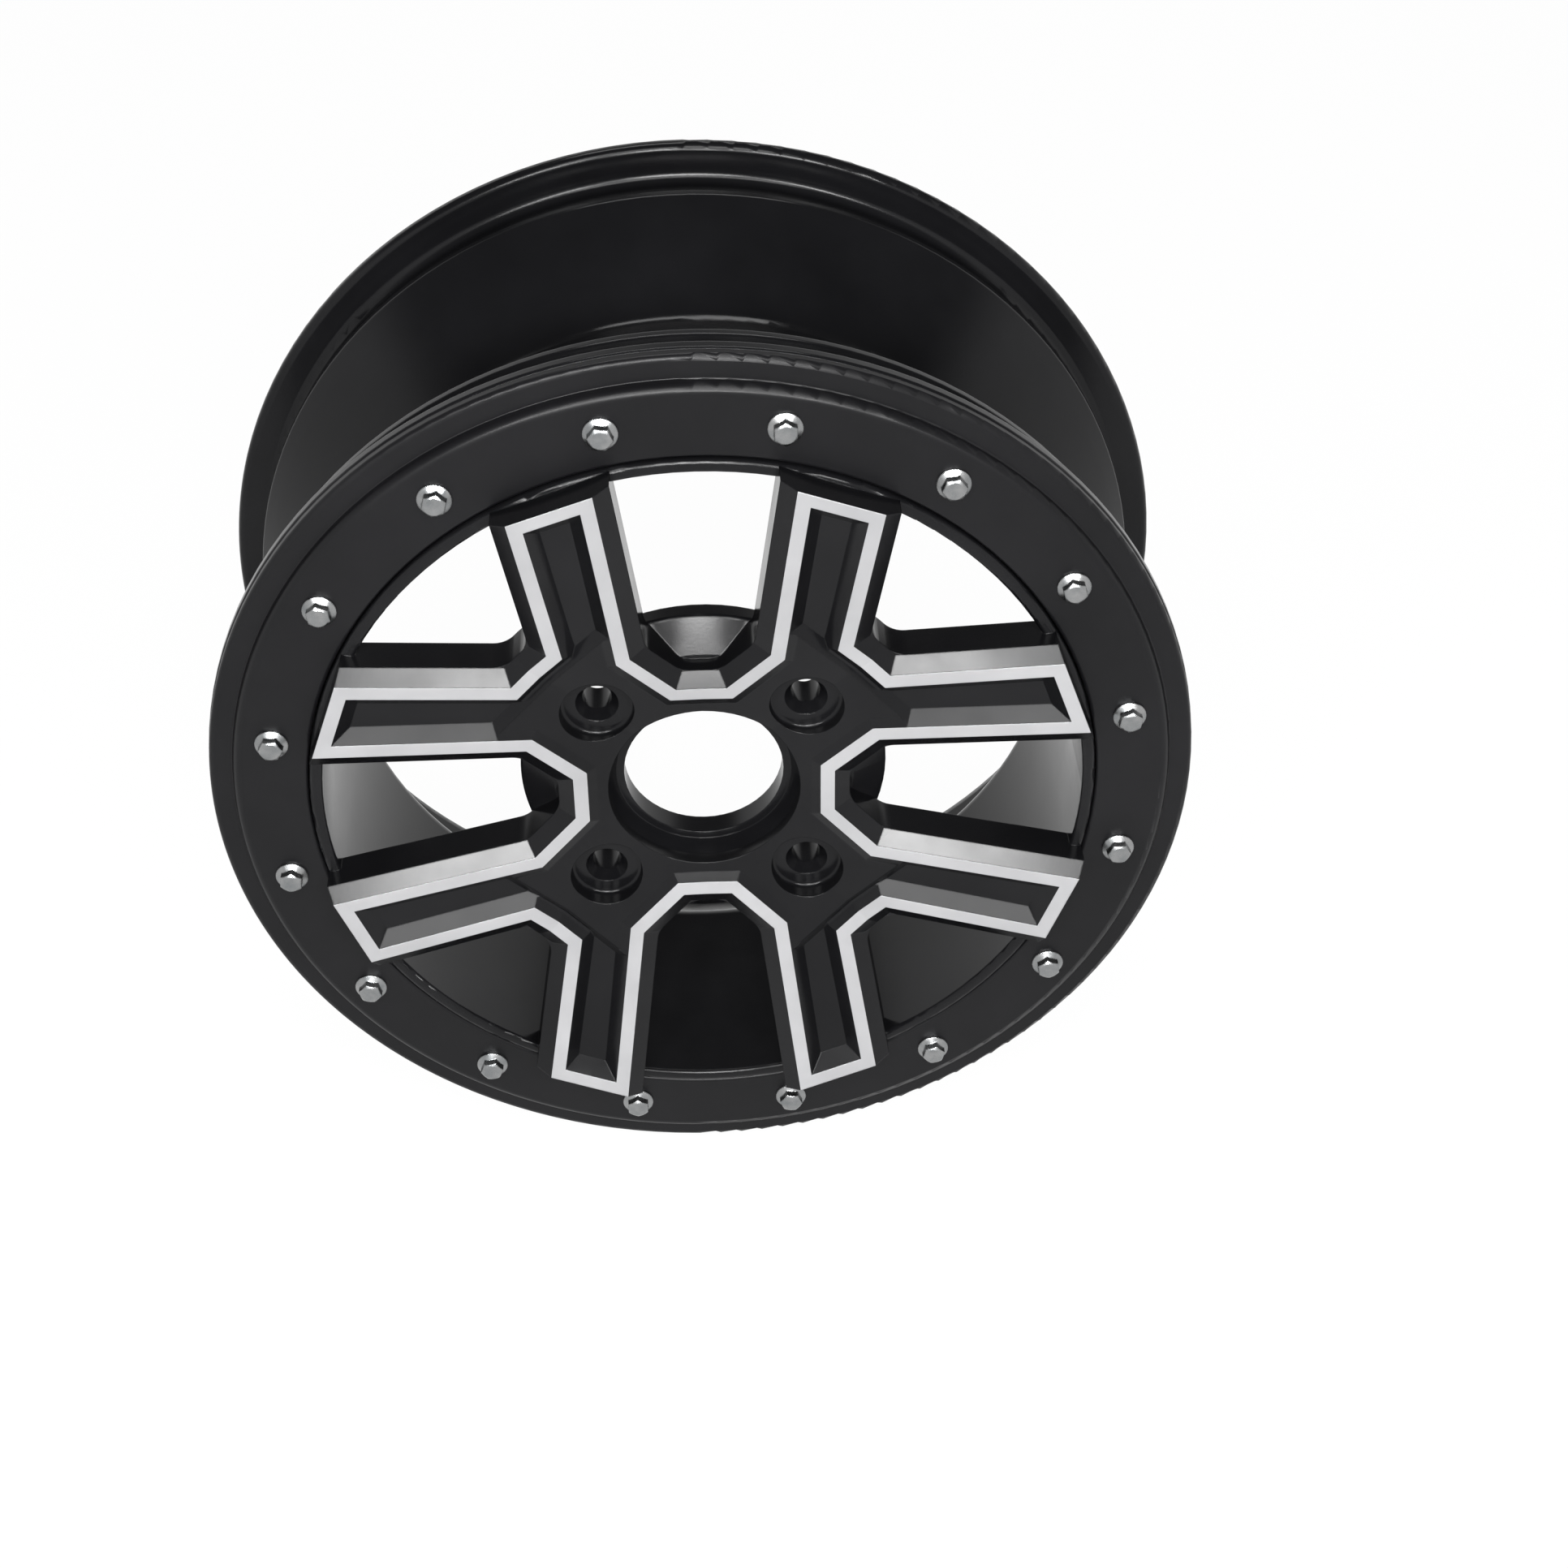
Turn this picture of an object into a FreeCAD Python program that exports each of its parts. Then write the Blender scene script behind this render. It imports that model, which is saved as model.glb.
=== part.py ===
"""ATV wheel: a cast eight-spoke body, the ring bolted to its front and the ring's sixteen bolts.

Millimetres. The wheel turns about Y. The origin is the centre of the hub's mounting face, -Y is the
outer side that shows on the vehicle and +Z is up. Most heights are given as a depth behind the flat
face of the ring, so the spokes that stand in front of it have negative depths.
"""
import FreeCAD
import Part
import math
import os
from FreeCAD import Vector

AXIS = Vector(0, 1, 0)
CENTRE = Vector(0, 0, 0)

# Where the hub sits in the rim
HUB_SETBACK = 26.0          # from the ring's face back to the mounting face
RIM_DEPTH = 164.0           # from the ring's face back to the rear edge

# Barrel: the tyre's seat is the standard size, and the other radii are steps from it
BEAD_SEAT_R = 177.4         # fourteen-inch tyre seat
SEAT_W = 11.0               # flat of the seat between flange and hump
SEAT_ROUND = 2.0
HUMP_RISE = 2.6             # safety hump over the seat
HUMP_W = 4.0
HUMP_RAMP = 2.5             # slope between seat and hump
WELL_DROP = 28.4            # floor of the drop centre below the seat
WELL_START = 54.0
WELL_W = 46.0
WELL_ROUND = 8.0
WALL = 6.0
FRONT_FLANGE_RISE = 8.6
FRONT_FLANGE_T = 5.5
REAR_FLANGE_RISE = 14.6
REAR_FLANGE_T = 7.0
REAR_FLANGE_ROUND = 3.0
REAR_MOUTH = 8.0            # flat end of the rear flange
REAR_FLARE = 12.0           # length of the inside's flare to that end

# Ring and its seat
SPIGOT_W = 5.0              # the body's round lip inside the ring
SPIGOT_PROUD = 1.5          # in front of the ring's face
SPIGOT_ROUND = 2.0
RING_T = 9.0
RING_SET_IN = 0.5           # ring's edge inside the front flange
RING_STEP_W = 9.5           # lower step round the ring's edge
RING_STEP = 4.6             # how far that step lies behind the face
RING_SHOULDER = 3.6         # rounding between the face and the step
RING_EDGE_ROUND = 2.2
RING_PLAY = 0.4             # round the spigot
EDGE_ROUND = 1.5            # rounding of other outer edges
EDGE_BREAK = 0.6            # broken sharp edges

# Bolts
BOLT_COUNT = 16
BOLT_SHANK_R = 3.0
BOLT_LENGTH = 20.0          # under the head
BOLT_HEX = 8.0              # across flats
BOLT_HEAD_H = 5.4
BOLT_CROWN = 0.8            # bevel of the head's corners
BOLT_FLANGE_R = 6.2
BOLT_FLANGE_T = 0.9         # at its edge
BOLT_FLANGE_RISE = 1.8      # from its edge up to the hexagon
BOLT_PLAY = 0.3             # round the shank in the ring
TAP_PLAY = 0.05             # round the shank in the body
TAP_SPARE = 3.0             # hole beyond the bolt's end

# Spoke star, drawn as one eighth between a large window's middle and a small window's middle
SPOKE_PROUD = 14.0          # spoke tips stand in front of the ring's face
FACE_SLOPE = 0.163          # the front falls back this much per millimetre towards the hub
SPOKE_LEAN = 8.1            # degrees between a spoke and the large window's middle
SPOKE_W = 32.6              # across the tip
SPOKE_DEPTH = 20.0
LARGE_SIDE_LEAN = 7.05      # degrees, spoke side at the large window
LARGE_SIDE_AT = 17.35       # its distance from the axle
SMALL_SIDE_LEAN = 9.2       # degrees, spoke side at the small window
SMALL_SIDE_AT = 43.8
LARGE_WEB_AT = 49.3         # hub's straight edge at the large window
LARGE_WEB_HALF = 9.3
SMALL_WEB_AT = 88.2         # hub's straight edge at the small window
TIP_PLAY = 0.5              # tips inside the spigot circle
TIP_TURN = 20.25            # degrees, direction that a tip's end faces
STRIPE_W = 5.3              # bright land along the outline
BEVEL_W = 6.0               # slope beside the land
BEVEL_DEPTH = 4.3
WINDOW_ROUND = 9.0          # corners of the windows
CHANNEL_SLOPE_W = 5.0       # side of the channel in a spoke
CHANNEL_DEPTH = 5.0
TROUGH_FLOOR_W = 1.2        # floor of the shallow trough between two spokes
TROUGH_LAP = 1.0            # the trough runs this far into the channel's floor
CUT_LIFT = 1.0              # the cutters start this far above the land
PLATFORM_AT = 76.3          # channel's end at the hub, along the small window's middle
PLATFORM_DROP = 1.6         # hub platform below the land
PLATFORM_SLOPE_W = 3.6      # sloping step between the two

# Hub
PAD_R = 70.0
PAD_EDGE_T = 7.0            # mounting pad at its edge
PAD_CONE_W = 13.0           # sloping front of the pad
PAD_CONE_H = 7.0
BORE_R = 30.5
BORE_WALL = 9.5
BORE_STEP = 3.0             # ledge at the front of the bore's wall
MOUTH_SLOPE_W = 3.0         # sloping side of the mouth
MOUTH_SLOPE_H = 6.0
LUG_COUNT = 4
LUG_CIRCLE_R = 55.0
LUG_HOLE_R = 5.5            # for M10 studs
LUG_WALL = 13.0             # straight part of the hole
LUG_SEAT_H = 4.5            # cone for the nut
LUG_SEAT_ANGLE = 30.0       # degrees between the cone's side and the stud
LUG_LEDGE_W = 5.8           # flat ledge round the cone

# Valve
VALVE_HOLE_R = 5.7
VALVE_DEPTH = 62.0


def at(depth):
    return depth - HUB_SETBACK


def place(radius, degrees):
    """Where something stands round the axle, from straight up."""
    angle = math.radians(degrees)
    return Vector(radius * math.sin(angle), 0, radius * math.cos(angle))


def rounded(points, roundings):
    """Closed wire through points in one plane, with an arc at each corner that has a rounding."""
    entries = []
    exits = []
    arcs = []
    for i, here in enumerate(points):
        if roundings[i] == 0:
            entries.append(here)
            exits.append(here)
            arcs.append(None)
            continue
        back = (points[i - 1] - here).normalize()
        ahead = (points[(i + 1) % len(points)] - here).normalize()
        half = back.getAngle(ahead) / 2
        reach = roundings[i] / math.tan(half)
        middle = here + (back + ahead).normalize() * (roundings[i] / math.sin(half) - roundings[i])
        entries.append(here + back * reach)
        exits.append(here + ahead * reach)
        arcs.append(Part.Arc(entries[i], middle, exits[i]).toShape())
    edges = []
    for i in range(len(points)):
        if arcs[i]:
            edges.append(arcs[i])
        onward = entries[(i + 1) % len(points)]
        if exits[i].distanceToPoint(onward) > 0.001:
            edges.append(Part.makeLine(exits[i], onward))
    return Part.Wire(edges)


def turned(corners):
    """Solid of revolution from (radius, depth, rounding) corners."""
    points = [Vector(radius, at(depth), 0) for radius, depth, rounding in corners]
    return Part.Face(rounded(points, [corner[2] for corner in corners])).revolve(CENTRE, AXIS, 360)


def line(degrees, distance):
    """Straight edge in the front view: the direction that it faces, from straight up, and its distance."""
    angle = math.radians(degrees)
    return (math.sin(angle), math.cos(angle), distance)


def meet(first, second):
    a, b, c = first
    d, e, f = second
    span = a * e - b * d
    return ((c * e - b * f) / span, (a * f - c * d) / span)


def outline(lines, moves):
    """Corners where each line, moved outwards, meets the next one."""
    moved = [(a, b, c + move) for (a, b, c), move in zip(lines, moves)]
    return [meet(moved[i - 1], moved[i]) for i in range(len(moved))]


def along_spoke(across, up):
    lean = math.radians(SPOKE_LEAN)
    return across * math.sin(lean) + up * math.cos(lean)


def on_face(point, below):
    """Point of the front view laid on the spoke's sloping front, or a distance below it."""
    across, up = point
    fall = FACE_SLOPE * (tip_reach - along_spoke(across, up))
    return Vector(across, at(below + fall - SPOKE_PROUD), up)


def frustum(levels):
    """Solid through outlines with the same number of corners, one above the other."""
    rings = [[on_face(point, below) for point in points] for points, below in levels]
    loops = [rings[0], rings[-1]]
    for upper, lower in zip(rings, rings[1:]):
        for i in range(len(upper)):
            loops.append([upper[i - 1], upper[i], lower[i], lower[i - 1]])
    faces = [Part.Face(Part.makePolygon(loop + loop[:1])) for loop in loops]
    solid = Part.makeSolid(Part.makeShell(faces))
    if solid.Volume < 0:
        solid.reverse()
    return solid


def ring_of(shape, count):
    copies = []
    for i in range(count):
        copy = shape.copy()
        copy.rotate(CENTRE, AXIS, 360.0 * i / count)
        copies.append(copy)
    return copies


def hole(radius, start, end, where):
    return Part.makeCylinder(radius, end - start, Vector(where.x, at(start), where.z), AXIS)


# Radii that follow from the seat
hump_r = BEAD_SEAT_R + HUMP_RISE
well_r = BEAD_SEAT_R - WELL_DROP
inner_r = well_r - WALL
seat_inner_r = BEAD_SEAT_R - WALL
spigot_r = inner_r + SPIGOT_W
front_flange_r = BEAD_SEAT_R + FRONT_FLANGE_RISE
rear_flange_r = BEAD_SEAT_R + REAR_FLANGE_RISE
ring_inner_r = spigot_r + RING_PLAY
ring_r = front_flange_r - RING_SET_IN
ring_flat_r = ring_r - RING_STEP_W
bolt_circle_r = (ring_inner_r + ring_flat_r) / 2

# Spoke star
tip_at = math.sqrt((spigot_r - TIP_PLAY) ** 2 - (SPOKE_W / 2 + BEVEL_W) ** 2)
tip_middle = place(tip_at, TIP_TURN)
tip_reach = along_spoke(tip_middle.x, tip_middle.z)
large_middle = line(-90, 0)
large_web = line(0, LARGE_WEB_AT)
corner_web = line(-45, (LARGE_WEB_AT - LARGE_WEB_HALF) / math.sqrt(2))
large_side = line(LARGE_SIDE_LEAN - 90, -LARGE_SIDE_AT)
tip = line(TIP_TURN, tip_at)
small_side = line(90 + SMALL_SIDE_LEAN, SMALL_SIDE_AT)
small_web = line(45, SMALL_WEB_AT)
small_middle = line(135, 0)

star_lines = [large_middle, large_web, corner_web, large_side, tip, small_side, small_web, small_middle]
wide = [0, BEVEL_W, BEVEL_W, BEVEL_W, 0, BEVEL_W, BEVEL_W, 0]
land = outline(star_lines, [0] * 8)
foot = outline(star_lines, wide)
bevel = frustum([(land, 0), (foot, BEVEL_DEPTH)])

# Below the bevel the walls go straight back, with rounded window corners
reach = 2 * rear_flange_r
round_corners = [0, 0, WINDOW_ROUND, WINDOW_ROUND, 0, 0, WINDOW_ROUND, 0]
wall_points = [Vector(across, -reach, up) for across, up in foot]
walls = Part.Face(rounded(wall_points, round_corners)).extrude(Vector(0, 2 * reach, 0))
sector = outline([large_middle, line(0, reach), small_middle], [0] * 3)
walls = walls.common(frustum([(sector, BEVEL_DEPTH), (sector, SPOKE_DEPTH)]))
eighth = bevel.fuse(walls)

# The cutters start above the land, on the same slopes. A channel runs along the spoke, and a shallow
# trough along the small window's web joins it to the channel of the next spoke.
slope = CHANNEL_SLOPE_W / CHANNEL_DEPTH
platform_edge = line(225, -PLATFORM_AT)
channel_lines = [large_side, tip, small_side, platform_edge]
channel_open = outline(channel_lines, [slope * CUT_LIFT - STRIPE_W] * 3 + [slope * CUT_LIFT])
channel_floor = outline(channel_lines, [-CHANNEL_SLOPE_W - STRIPE_W] * 3 + [-CHANNEL_SLOPE_W])
channel = frustum([(channel_open, -CUT_LIFT), (channel_floor, CHANNEL_DEPTH)])

trough_depth = (SMALL_WEB_AT - STRIPE_W - PLATFORM_AT - TROUGH_FLOOR_W) / 2 / slope
trough_end = line(SMALL_SIDE_LEAN - 90, STRIPE_W + CHANNEL_SLOPE_W + TROUGH_LAP - SMALL_SIDE_AT)
trough_lines = [small_web, small_middle, platform_edge, trough_end]
trough_open = outline(trough_lines, [slope * CUT_LIFT - STRIPE_W, 0, slope * CUT_LIFT, 0])
trough_floor = outline(trough_lines, [-slope * trough_depth - STRIPE_W, 0, -slope * trough_depth, 0])
trough = frustum([(trough_open, -CUT_LIFT), (trough_floor, trough_depth)])

platform_out = line(45, PLATFORM_AT + slope * CUT_LIFT)
platform_lines = [large_middle, large_web, corner_web, large_side, platform_out, small_middle]
step_slope = PLATFORM_SLOPE_W / PLATFORM_DROP
platform_open = outline(platform_lines, [0] + [step_slope * CUT_LIFT - STRIPE_W] * 3 + [0, 0])
platform_floor = outline(platform_lines, [0] + [-PLATFORM_SLOPE_W - STRIPE_W] * 3 + [0, 0])
platform = frustum([(platform_open, -CUT_LIFT), (platform_floor, PLATFORM_DROP)])

eighth = eighth.cut([channel, trough, platform])
other = eighth.mirror(CENTRE, Vector(1, 0, 0))
quarters = ring_of(eighth, 4) + ring_of(other, 4)
star = quarters[0].multiFuse(quarters[1:]).removeSplitter()
hub_room = hole(PAD_R, HUB_SETBACK, RIM_DEPTH, CENTRE)    # nothing stands behind the mounting face
star = star.cut(hub_room)

# Barrel
well_end = WELL_START + WELL_W
seat_start = RING_T + FRONT_FLANGE_T + SEAT_ROUND
front_hump = seat_start + SEAT_W + HUMP_RAMP
rear_face = RIM_DEPTH - REAR_FLANGE_T
rear_hump = rear_face - SEAT_W - HUMP_RAMP - HUMP_W
barrel = turned([
    (inner_r, -SPIGOT_PROUD, EDGE_ROUND),
    (spigot_r, -SPIGOT_PROUD, SPIGOT_ROUND),
    (spigot_r, RING_T, 0),
    (front_flange_r, RING_T, EDGE_ROUND),
    (front_flange_r, RING_T + FRONT_FLANGE_T, EDGE_ROUND),
    (BEAD_SEAT_R, seat_start, SEAT_ROUND),
    (BEAD_SEAT_R, seat_start + SEAT_W, SEAT_ROUND),
    (hump_r, front_hump, SEAT_ROUND),
    (hump_r, front_hump + HUMP_W, SEAT_ROUND),
    (well_r, WELL_START, WELL_ROUND),
    (well_r, well_end, WELL_ROUND),
    (BEAD_SEAT_R - SEAT_ROUND, rear_hump - WALL, SEAT_ROUND),
    (hump_r, rear_hump, SEAT_ROUND),
    (hump_r, rear_hump + HUMP_W, SEAT_ROUND),
    (BEAD_SEAT_R, rear_face - SEAT_W, SEAT_ROUND),
    (BEAD_SEAT_R, rear_face, 2 * SEAT_ROUND),
    (rear_flange_r, rear_face, REAR_FLANGE_ROUND),
    (rear_flange_r, RIM_DEPTH, REAR_FLANGE_ROUND),
    (rear_flange_r - REAR_MOUTH, RIM_DEPTH, SEAT_ROUND),
    (seat_inner_r, RIM_DEPTH - REAR_FLARE, WELL_ROUND),
    (seat_inner_r, rear_hump, WALL),
    (inner_r, well_end, WELL_ROUND),
])

# Hub
pad_front = HUB_SETBACK - PAD_EDGE_T
pad = turned([
    (0, pad_front - PAD_CONE_H, 0),
    (PAD_R - PAD_CONE_W, pad_front - PAD_CONE_H, 0),
    (PAD_R, pad_front, EDGE_ROUND),
    (PAD_R, HUB_SETBACK, 0),
    (0, HUB_SETBACK, 0),
])
past = HUB_SETBACK + WALL
bore_front = HUB_SETBACK - BORE_WALL
mouth_foot_r = BORE_R + BORE_STEP
bore = turned([
    (0, -SPOKE_PROUD, 0),
    (mouth_foot_r + MOUTH_SLOPE_W, -SPOKE_PROUD, 0),
    (mouth_foot_r + MOUTH_SLOPE_W, bore_front - MOUTH_SLOPE_H, 0),
    (mouth_foot_r, bore_front, 0),
    (BORE_R, bore_front, 0),
    (BORE_R, past, 0),
    (0, past, 0),
])

lug_hole_front = HUB_SETBACK - LUG_WALL
lug_ledge = lug_hole_front - LUG_SEAT_H
lug_seat_r = LUG_HOLE_R + LUG_SEAT_H * math.tan(math.radians(LUG_SEAT_ANGLE))
lug = turned([
    (0, -SPOKE_PROUD, 0),
    (lug_seat_r + LUG_LEDGE_W, -SPOKE_PROUD, 0),
    (lug_seat_r + LUG_LEDGE_W, lug_ledge, EDGE_ROUND),
    (lug_seat_r, lug_ledge, 0),
    (LUG_HOLE_R, lug_hole_front, 0),
    (LUG_HOLE_R, past, 0),
    (0, past, 0),
])
lug.translate(place(LUG_CIRCLE_R, 180.0 / LUG_COUNT))

first_bolt = place(bolt_circle_r, 180.0 / BOLT_COUNT)
tap = hole(BOLT_SHANK_R + TAP_PLAY, 0, BOLT_LENGTH + TAP_SPARE, first_bolt)
valve_start = Vector(0, at(VALVE_DEPTH), inner_r - WALL)
valve_hole = Part.makeCylinder(VALVE_HOLE_R, 3 * WALL, valve_start, Vector(0, 0, 1))

body = barrel.multiFuse([pad, star])
body = body.cut([bore, valve_hole] + ring_of(lug, LUG_COUNT) + ring_of(tap, BOLT_COUNT))
body = body.removeSplitter()

# Ring
clear = hole(BOLT_SHANK_R + BOLT_PLAY, 0, RING_T, first_bolt)
ring = turned([
    (ring_inner_r, RING_T, 0),
    (ring_inner_r, 0, EDGE_ROUND),
    (ring_flat_r, 0, RING_SHOULDER),
    (ring_flat_r + EDGE_BREAK, RING_STEP, EDGE_BREAK),
    (ring_r, RING_STEP, RING_EDGE_ROUND),
    (ring_r, RING_T, 0),
])
ring = ring.cut(ring_of(clear, BOLT_COUNT))

# Bolts
hex_r = BOLT_HEX / math.sqrt(3)
hex_corners = [place(hex_r, 60 * i) + Vector(0, at(0), 0) for i in range(7)]
hexagon = Part.Face(Part.makePolygon(hex_corners)).extrude(Vector(0, -BOLT_HEAD_H, 0))
crown = turned([
    (0, -BOLT_HEAD_H, 0),
    (BOLT_HEX / 2 - EDGE_BREAK, -BOLT_HEAD_H, 0),
    (hex_r, BOLT_CROWN - BOLT_HEAD_H, 0),
    (hex_r, 0, 0),
    (0, 0, 0),
])
shank = turned([
    (0, -BOLT_FLANGE_T - BOLT_FLANGE_RISE, 0),
    (BOLT_HEX / 2 - EDGE_BREAK, -BOLT_FLANGE_T - BOLT_FLANGE_RISE, 0),
    (BOLT_FLANGE_R, -BOLT_FLANGE_T, 0),
    (BOLT_FLANGE_R, 0, 0),
    (BOLT_SHANK_R, 0, 0),
    (BOLT_SHANK_R, BOLT_LENGTH, 0),
    (0, BOLT_LENGTH, 0),
])
bolt = hexagon.common(crown).fuse(shank)
bolt.translate(first_bolt)
bolts = Part.makeCompound(ring_of(bolt, BOLT_COUNT))

nodes = {
    "wheel_body": body,
    "beadlock_ring": ring,
    "ring_bolts": bolts,
}
os.makedirs("parts", exist_ok=True)
for name, shape in nodes.items():
    shape.exportStep("parts/" + name + ".step")
    print(name, "valid", shape.isValid(), "solids", len(shape.Solids), "cm3", round(shape.Volume / 1000, 1))
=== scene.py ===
import bpy
import math
from mathutils import Matrix, Vector


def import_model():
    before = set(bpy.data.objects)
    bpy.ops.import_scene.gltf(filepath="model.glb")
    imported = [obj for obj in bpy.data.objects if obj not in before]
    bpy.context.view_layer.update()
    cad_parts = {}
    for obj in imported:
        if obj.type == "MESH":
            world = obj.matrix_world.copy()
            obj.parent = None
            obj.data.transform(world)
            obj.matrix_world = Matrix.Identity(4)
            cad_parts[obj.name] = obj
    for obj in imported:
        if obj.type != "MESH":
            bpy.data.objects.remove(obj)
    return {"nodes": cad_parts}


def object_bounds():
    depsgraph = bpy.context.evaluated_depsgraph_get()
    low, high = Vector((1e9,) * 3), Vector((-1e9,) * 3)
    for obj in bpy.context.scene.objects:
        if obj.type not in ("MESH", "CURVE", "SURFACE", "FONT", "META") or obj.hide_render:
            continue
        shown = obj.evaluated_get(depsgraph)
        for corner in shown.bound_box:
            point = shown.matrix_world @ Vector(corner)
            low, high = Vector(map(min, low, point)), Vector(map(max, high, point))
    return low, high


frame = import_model()
cad_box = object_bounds()

# Shape of the spokes' sloping front, in metres, as the solids have it
RING_FACE_Y = -0.026
SPOKE_PROUD = 0.014
FACE_SLOPE = 0.163
SPOKE_LEAN = math.radians(8.1)
TIP_REACH = 0.14254
LAND_TOLERANCE = 0.00006

# Camera, from the photograph's ring, bolts and rear edge
CAMERA_AT = Vector((-0.0016, -0.8164, 0.6226))
CAMERA_AIM = Vector((0.030, -0.026, 0.0047))
CAMERA_ROLL = math.radians(-0.53)
CAMERA_LENS = 61.07
CAMERA_SENSOR = 36

# Radius, in metres, that the light sees on sharp edges
EDGE_ROUND = 0.0007
EDGE_SAMPLES = 4

# Values of a noise at which its colours and numbers reach their ends
NOISE_LOW = 0.3
NOISE_HIGH = 0.7

FLOOR_Z = cad_box[0][2]
FLOOR_SIZE = 30
FLOOR_ROUGHNESS = 0.9
FLOOR_WHITE_SHARE = 0.96
LAMP_AIM = Vector((0, 0, 0))

# Sines of the heights between which the studio's white walls darken to its ceiling
HORIZON_TOP = 0.32
CEILING_START = 0.55
WALL_STRENGTH = 1.0
CEILING_STRENGTH = 0.1


def tree(name):
    """New material, with its nodes, links and main shader."""
    material = bpy.data.materials.new(name)
    material.use_nodes = True
    nodes = material.node_tree.nodes
    shader = nodes["Principled BSDF"]
    return material, nodes, material.node_tree.links, shader


def noise(nodes, links, scale, detail=3.0):
    """Noise in the object's own space; scale is in waves per metre."""
    place = nodes.new("ShaderNodeTexCoord")
    texture = nodes.new("ShaderNodeTexNoise")
    texture.inputs["Scale"].default_value = scale
    texture.inputs["Detail"].default_value = detail
    texture.inputs["Roughness"].default_value = 0.55
    links.new(place.outputs["Object"], texture.inputs["Vector"])
    return texture.outputs["Fac"]


def between(nodes, links, fac, low, high):
    """Number that follows a noise, from low to high."""
    span = nodes.new("ShaderNodeMapRange")
    span.inputs["From Min"].default_value = NOISE_LOW
    span.inputs["From Max"].default_value = NOISE_HIGH
    span.inputs["To Min"].default_value = low
    span.inputs["To Max"].default_value = high
    links.new(fac, span.inputs["Value"])
    return span.outputs["Result"]


def shades(nodes, links, fac, dark, light):
    """Colour that follows a noise, from dark to light."""
    ramp = nodes.new("ShaderNodeValToRGB")
    ramp.color_ramp.elements[0].position = NOISE_LOW
    ramp.color_ramp.elements[0].color = (*dark, 1)
    ramp.color_ramp.elements[1].position = NOISE_HIGH
    ramp.color_ramp.elements[1].color = (*light, 1)
    links.new(fac, ramp.inputs["Fac"])
    return ramp.outputs["Color"]


def bumped(nodes, links, shader, height, strength, distance, sharp=True):
    """Fine relief. Where the solid's edges are sharp, they are rounded off for the light."""
    bump = nodes.new("ShaderNodeBump")
    if sharp:
        edge = nodes.new("ShaderNodeBevel")
        edge.samples = EDGE_SAMPLES
        edge.inputs["Radius"].default_value = EDGE_ROUND
        links.new(edge.outputs["Normal"], bump.inputs["Normal"])
    bump.inputs["Strength"].default_value = strength
    bump.inputs["Distance"].default_value = distance
    links.new(height, bump.inputs["Height"])
    links.new(bump.outputs["Normal"], shader.inputs["Normal"])


def satin_black(name, dark, light, smooth, rough, sharp):
    """Sprayed satin coating: faint orange peel, and gloss and shade that drift over the surface."""
    material, nodes, links, shader = tree(name)
    drift = noise(nodes, links, scale=18)
    gloss = noise(nodes, links, scale=45)
    peel = noise(nodes, links, scale=900, detail=2.0)
    links.new(shades(nodes, links, drift, dark, light), shader.inputs["Base Color"])
    links.new(between(nodes, links, gloss, smooth, rough), shader.inputs["Roughness"])
    shader.inputs["Specular IOR Level"].default_value = 0.18
    bumped(nodes, links, shader, peel, strength=0.035, distance=0.0002, sharp=sharp)
    return material


def cut_land(name):
    """Bright cut edge of the spokes under clear lacquer, with fine tool marks round the axle."""
    material, nodes, links, shader = tree(name)
    drift = noise(nodes, links, scale=30)
    gloss = noise(nodes, links, scale=220)
    place = nodes.new("ShaderNodeTexCoord")
    marks = nodes.new("ShaderNodeTexWave")
    marks.wave_type = "RINGS"
    marks.rings_direction = "Y"
    marks.inputs["Scale"].default_value = 500
    marks.inputs["Distortion"].default_value = 0.4
    links.new(place.outputs["Object"], marks.inputs["Vector"])
    links.new(shades(nodes, links, drift, dark=(0.45, 0.45, 0.46), light=(0.52, 0.52, 0.53)),
              shader.inputs["Base Color"])
    links.new(between(nodes, links, gloss, low=0.34, high=0.44), shader.inputs["Roughness"])
    shader.inputs["Metallic"].default_value = 0.85
    bumped(nodes, links, shader, marks.outputs["Fac"], strength=0.05, distance=0.0001)
    return material


def plated(name):
    """Bright zinc plating with slight clouding."""
    material, nodes, links, shader = tree(name)
    clouds = noise(nodes, links, scale=160)
    gloss = noise(nodes, links, scale=400)
    grain = noise(nodes, links, scale=1500, detail=2.0)
    links.new(shades(nodes, links, clouds, dark=(0.22, 0.23, 0.235), light=(0.34, 0.34, 0.34)),
              shader.inputs["Base Color"])
    links.new(between(nodes, links, gloss, low=0.20, high=0.34), shader.inputs["Roughness"])
    shader.inputs["Metallic"].default_value = 1.0
    bumped(nodes, links, shader, grain, strength=0.06, distance=0.0001)
    return material


def on_land(point):
    """True where a point lies on the sloping front of its spoke."""
    across = min(abs(point.x), abs(point.z))
    up = max(abs(point.x), abs(point.z))
    along = across * math.sin(SPOKE_LEAN) + up * math.cos(SPOKE_LEAN)
    front = RING_FACE_Y - SPOKE_PROUD + FACE_SLOPE * (TIP_REACH - along)
    return abs(point.y - front) < LAND_TOLERANCE


def dress(node, *materials):
    """Give a CAD node its materials, in the order of their slots."""
    obj = frame["nodes"][node]
    obj.data.materials.clear()
    for material in materials:
        obj.data.materials.append(material)
    return obj


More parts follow.
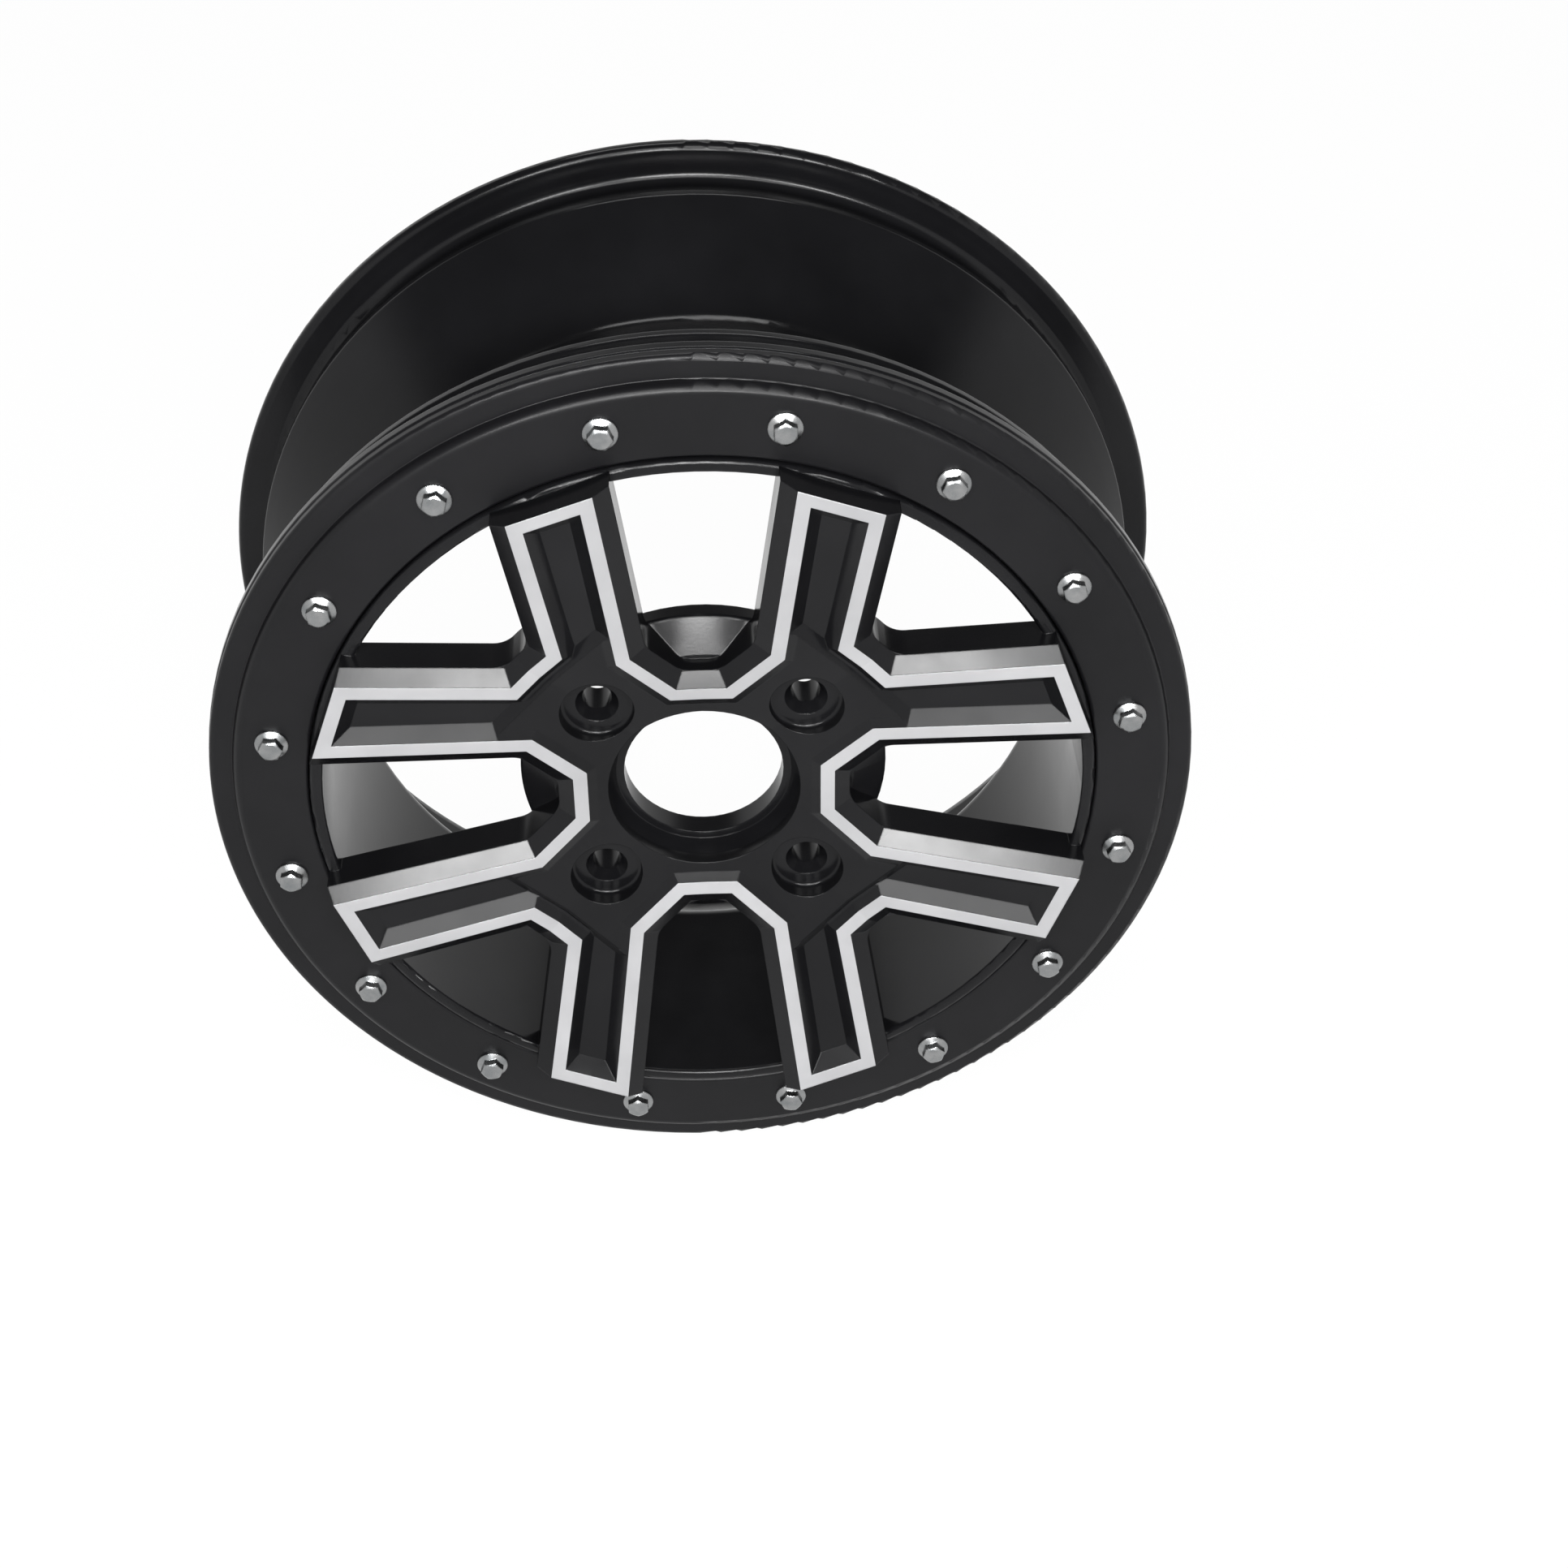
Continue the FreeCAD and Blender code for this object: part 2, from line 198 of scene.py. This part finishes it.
def paint_body():
    """Black casting, with the spokes' front faces bright."""
    coat = satin_black("body_coat", dark=(0.003, 0.003, 0.0034), light=(0.005, 0.005, 0.0056),
                       smooth=0.15, rough=0.21, sharp=True)
    body = dress("wheel_body", coat, cut_land("spoke_land"))
    points = body.data.vertices
    for face in body.data.polygons:
        face.material_index = int(all(on_land(points[i].co) for i in face.vertices))


def paint_ring():
    """The ring's edges are round in the solid, so they need no rounding for the light."""
    coat = satin_black("ring_coat", dark=(0.003, 0.003, 0.0034), light=(0.005, 0.0049, 0.0056),
                       smooth=0.30, rough=0.37, sharp=False)
    dress("beadlock_ring", coat)


def light(name, at, size, power):
    """Rectangular lamp aimed at the wheel's hub; size is width and height."""
    lamp = bpy.data.lights.new(name, "AREA")
    lamp.shape = "RECTANGLE"
    lamp.size, lamp.size_y = size
    lamp.energy = power
    obj = bpy.data.objects.new(name, lamp)
    obj.location = at
    obj.rotation_euler = (LAMP_AIM - Vector(at)).to_track_quat("-Z", "Y").to_euler()
    bpy.context.scene.collection.objects.link(obj)


def lamps():
    """Soft lamps in front for the face and the bevels, and one behind for the barrel and the back."""
    light("front", at=(0, -1.0, 0.60), size=(0.26, 0.24), power=11.5)
    light("front_left", at=(-0.42, -1.0, 0.69), size=(0.28, 0.18), power=7.6)
    light("front_right", at=(0.42, -1.0, 0.69), size=(0.28, 0.18), power=7.6)
    light("front_upper", at=(0, -1.0, 1.18), size=(1.1, 0.30), power=12.0)
    light("back_upper", at=(0, 1.0, 1.9), size=(1.4, 0.5), power=16.0)


def seen_white(nodes, links):
    """1 for rays that show the background itself, 0 for light that falls on the object."""
    path = nodes.new("ShaderNodeLightPath")
    first = nodes.new("ShaderNodeMath")
    first.operation = "MAXIMUM"
    links.new(path.outputs["Is Camera Ray"], first.inputs[0])
    links.new(path.outputs["Is Glossy Ray"], first.inputs[1])
    second = nodes.new("ShaderNodeMath")
    second.operation = "MAXIMUM"
    links.new(first.outputs[0], second.inputs[0])
    links.new(path.outputs["Is Transmission Ray"], second.inputs[1])
    return second.outputs[0]


def floor():
    """Pale plain floor that shows nearly white and still takes a soft shadow."""
    bpy.ops.mesh.primitive_plane_add(size=FLOOR_SIZE, location=(0, 0, FLOOR_Z))
    plane = bpy.context.object
    plane.name = "studio_floor"
    material, nodes, links, shader = tree("studio_white")
    drift = noise(nodes, links, scale=0.7)
    links.new(shades(nodes, links, drift, dark=(0.86, 0.86, 0.86), light=(0.9, 0.9, 0.9)),
              shader.inputs["Base Color"])
    shader.inputs["Roughness"].default_value = FLOOR_ROUGHNESS
    glow = nodes.new("ShaderNodeEmission")
    share = nodes.new("ShaderNodeMath")
    share.operation = "MULTIPLY"
    share.inputs[1].default_value = FLOOR_WHITE_SHARE
    links.new(seen_white(nodes, links), share.inputs[0])
    mix = nodes.new("ShaderNodeMixShader")
    links.new(share.outputs[0], mix.inputs["Fac"])
    links.new(shader.outputs[0], mix.inputs[1])
    links.new(glow.outputs[0], mix.inputs[2])
    links.new(mix.outputs[0], nodes["Material Output"].inputs["Surface"])
    plane.data.materials.append(material)


def world():
    """White all round at eye level, darker overhead."""
    studio = bpy.data.worlds.new("studio")
    studio.use_nodes = True
    bpy.context.scene.world = studio
    nodes = studio.node_tree.nodes
    links = studio.node_tree.links
    place = nodes.new("ShaderNodeTexCoord")
    height = nodes.new("ShaderNodeSeparateXYZ")
    links.new(place.outputs["Generated"], height.inputs["Vector"])
    strength = nodes.new("ShaderNodeMapRange")
    strength.interpolation_type = "SMOOTHSTEP"
    strength.inputs["From Min"].default_value = HORIZON_TOP
    strength.inputs["From Max"].default_value = CEILING_START
    strength.inputs["To Min"].default_value = WALL_STRENGTH
    strength.inputs["To Max"].default_value = CEILING_STRENGTH
    links.new(height.outputs["Z"], strength.inputs["Value"])
    nodes["Background"].inputs["Color"].default_value = (1, 1, 1, 1)
    links.new(strength.outputs["Result"], nodes["Background"].inputs["Strength"])


def camera():
    """Camera at the photograph's angle."""
    lens = bpy.data.cameras.new("camera")
    lens.lens = CAMERA_LENS
    lens.sensor_width = CAMERA_SENSOR
    obj = bpy.data.objects.new("camera", lens)
    turn = (CAMERA_AIM - CAMERA_AT).to_track_quat("-Z", "Y").to_matrix().to_4x4()
    obj.matrix_world = Matrix.Translation(CAMERA_AT) @ turn @ Matrix.Rotation(CAMERA_ROLL, 4, "Z")
    bpy.context.scene.collection.objects.link(obj)
    bpy.context.scene.camera = obj


paint_body()
paint_ring()
dress("ring_bolts", plated("bolt_plating"))
floor()
world()
lamps()
camera()
bpy.context.scene.view_settings.view_transform = "Standard"
